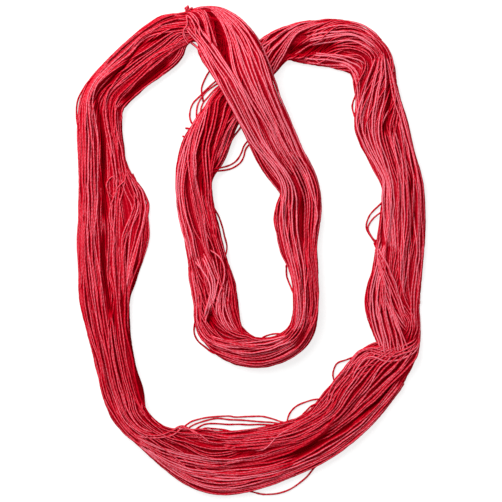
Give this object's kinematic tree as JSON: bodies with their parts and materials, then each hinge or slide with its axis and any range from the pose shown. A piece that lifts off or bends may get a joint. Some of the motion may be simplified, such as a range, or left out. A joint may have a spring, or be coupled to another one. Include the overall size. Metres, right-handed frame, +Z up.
{
  "type": "skein of sashiko thread",
  "caption": "Wound hank of red cotton sashiko thread, opened out and laid flat as a double ring that crosses over itself, bound at its fold by a knotted tie; embroidery supply or prop.",
  "frame": {"origin": "on the table, under the middle of the skein's outline", "axes": "+Z up from the table, +Y along the skein's length towards the tied fold, +X to the right of it seen from above"},
  "size_m": [0.1257, 0.176, 0.0089],
  "materials": {
    "thread": "soft matt twisted cotton with a slight sheen"
  },
  "bodies": {
    "root": {"hank": "thread", "tie": "thread"}
  },
  "joints": []
}
